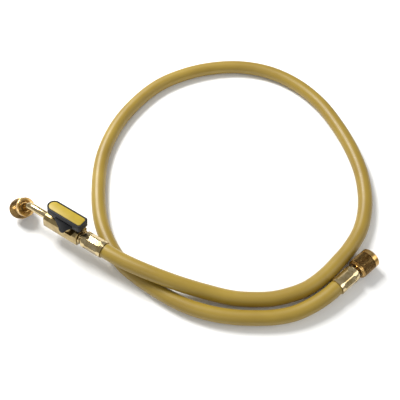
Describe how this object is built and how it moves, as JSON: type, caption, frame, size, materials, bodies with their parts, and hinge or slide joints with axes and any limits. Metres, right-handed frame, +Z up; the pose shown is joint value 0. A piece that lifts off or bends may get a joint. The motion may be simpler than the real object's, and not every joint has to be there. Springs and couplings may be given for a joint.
{
  "type": "refrigerant charging hose",
  "caption": "Rubber charging hose in a loose loop, with a quarter-turn ball valve on one end and a knurled swivel nut on each end.",
  "frame": {"origin": "on the floor, at the middle of the box around the valve and the far fitting", "axes": "+X along the valve's bore from its nut to the hose, +Z up along the lever's stem, +Y towards the middle of the loop"},
  "size_m": [0.2725, 0.2528, 0.0378],
  "materials": {
    "brass_satin": "satin",
    "brass_bright": "polished",
    "brass_knurled": "knurled",
    "hose_rubber": "satin",
    "lever_plastic": "satin",
    "insert_plastic": "matte",
    "gasket_rubber": "matte"
  },
  "bodies": {
    "hose_assembly": {"valve_body": "brass_satin", "bent_tube": "brass_bright", "valve_nut_gasket": "gasket_rubber", "valve_hose_stem": "brass_bright", "valve_ferrule": "brass_bright", "hose": "hose_rubber", "far_ferrule": "brass_bright", "far_hose_stem": "brass_bright", "far_nut_gasket": "gasket_rubber"},
    "lever": {"lever": "lever_plastic", "lever_insert": "insert_plastic", "ball_and_stem": "brass_satin"},
    "valve_nut": {"valve_nut": "brass_knurled"},
    "far_nut": {"far_nut": "brass_knurled"}
  },
  "joints": [
    {"name": "lever_turn", "type": "hinge", "parent": "hose_assembly", "child": "lever", "pos_m": [-0.078, -0.0494, 0.01918], "axis": [0.0153, 0.225, 0.9742], "range_deg": [0, 90]},
    {"name": "valve_nut_swivel", "type": "hinge", "parent": "hose_assembly", "child": "valve_nut", "pos_m": [-0.12078, -0.05047, 0.0152], "axis": [-0.7178, -0.1591, -0.6778], "continuous": true},
    {"name": "far_nut_swivel", "type": "hinge", "parent": "hose_assembly", "child": "far_nut", "pos_m": [0.12348, 0.04163, 0.008], "axis": [0.3007, 0.9537, 0], "continuous": true}
  ]
}
